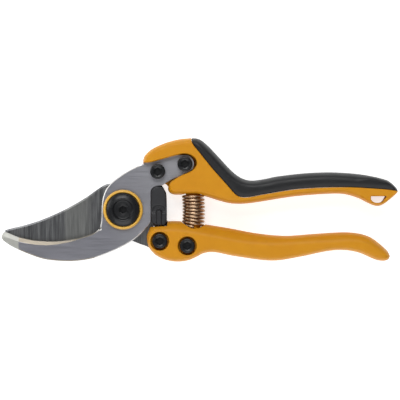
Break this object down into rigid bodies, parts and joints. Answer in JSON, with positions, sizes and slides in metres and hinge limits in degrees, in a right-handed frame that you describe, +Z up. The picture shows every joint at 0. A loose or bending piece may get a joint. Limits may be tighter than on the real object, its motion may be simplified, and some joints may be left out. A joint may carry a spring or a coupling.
{
  "type": "pruning shears",
  "caption": "Bypass pruning shears with a curved hook, a pivoting cutting blade, moulded handles with a soft grip, a coil spring and a safety catch.",
  "frame": {"origin": "on the surface the closed shears lie on, under the pivot's axis, at the middle of the pivot nut's closed face", "axes": "+X from the pivot towards the ends of the handles, +Y towards the handle with the soft grip, +Z up from the surface, along the pivot's axis and out of the bolt head"},
  "size_m": [0.2139, 0.0668, 0.017],
  "materials": {
    "brushed_steel": "ground and brushed tool steel, satin",
    "ground_steel": "hardened blade steel with a coarse ground face",
    "black_steel": "black oxide on steel, satin",
    "yellow_ring": "moulded plastic, satin",
    "bronze": "sintered bronze",
    "zinc_steel": "zinc plated steel",
    "yellow_nylon": "glass-fibre filled nylon, fine matt grain",
    "black_rubber": "moulded soft thermoplastic rubber, matt",
    "spring_wire": "bronze-coloured coated spring wire",
    "black_nylon": "moulded nylon, satin"
  },
  "bodies": {
    "hook_half": {"hook_blade": "brushed_steel", "upper_handle_body": "yellow_nylon", "upper_handle_grip": "black_rubber", "upper_screw_front": "black_steel", "upper_nut_front": "zinc_steel", "upper_screw_rear": "black_steel", "upper_nut_rear": "zinc_steel", "pivot_bolt": "black_steel", "pivot_ring": "yellow_ring", "pivot_bush": "bronze", "pivot_washer": "zinc_steel", "pivot_nut": "black_steel", "handle_spring": "spring_wire"},
    "cutter_half": {"cutting_blade": "ground_steel", "lower_handle_body": "yellow_nylon", "lower_screw_front": "black_steel", "lower_nut_front": "zinc_steel", "lower_screw_rear": "black_steel", "lower_nut_rear": "zinc_steel", "catch_pin": "zinc_steel", "detent_ball": "zinc_steel", "detent_spring": "spring_wire"},
    "catch": {"lock_catch": "black_nylon"}
  },
  "joints": [
    {"name": "handles_open", "type": "hinge", "parent": "hook_half", "child": "cutter_half", "pos_m": [0, 0, 0.0085], "axis": [0, 0, -1], "range_deg": [0, 36], "deforming": ["handle_spring"]},
    {"name": "catch_swing", "type": "hinge", "parent": "cutter_half", "child": "catch", "pos_m": [0.0195, -0.0099, 0.0085], "axis": [0, 0, -1], "range_deg": [0, 5]}
  ]
}
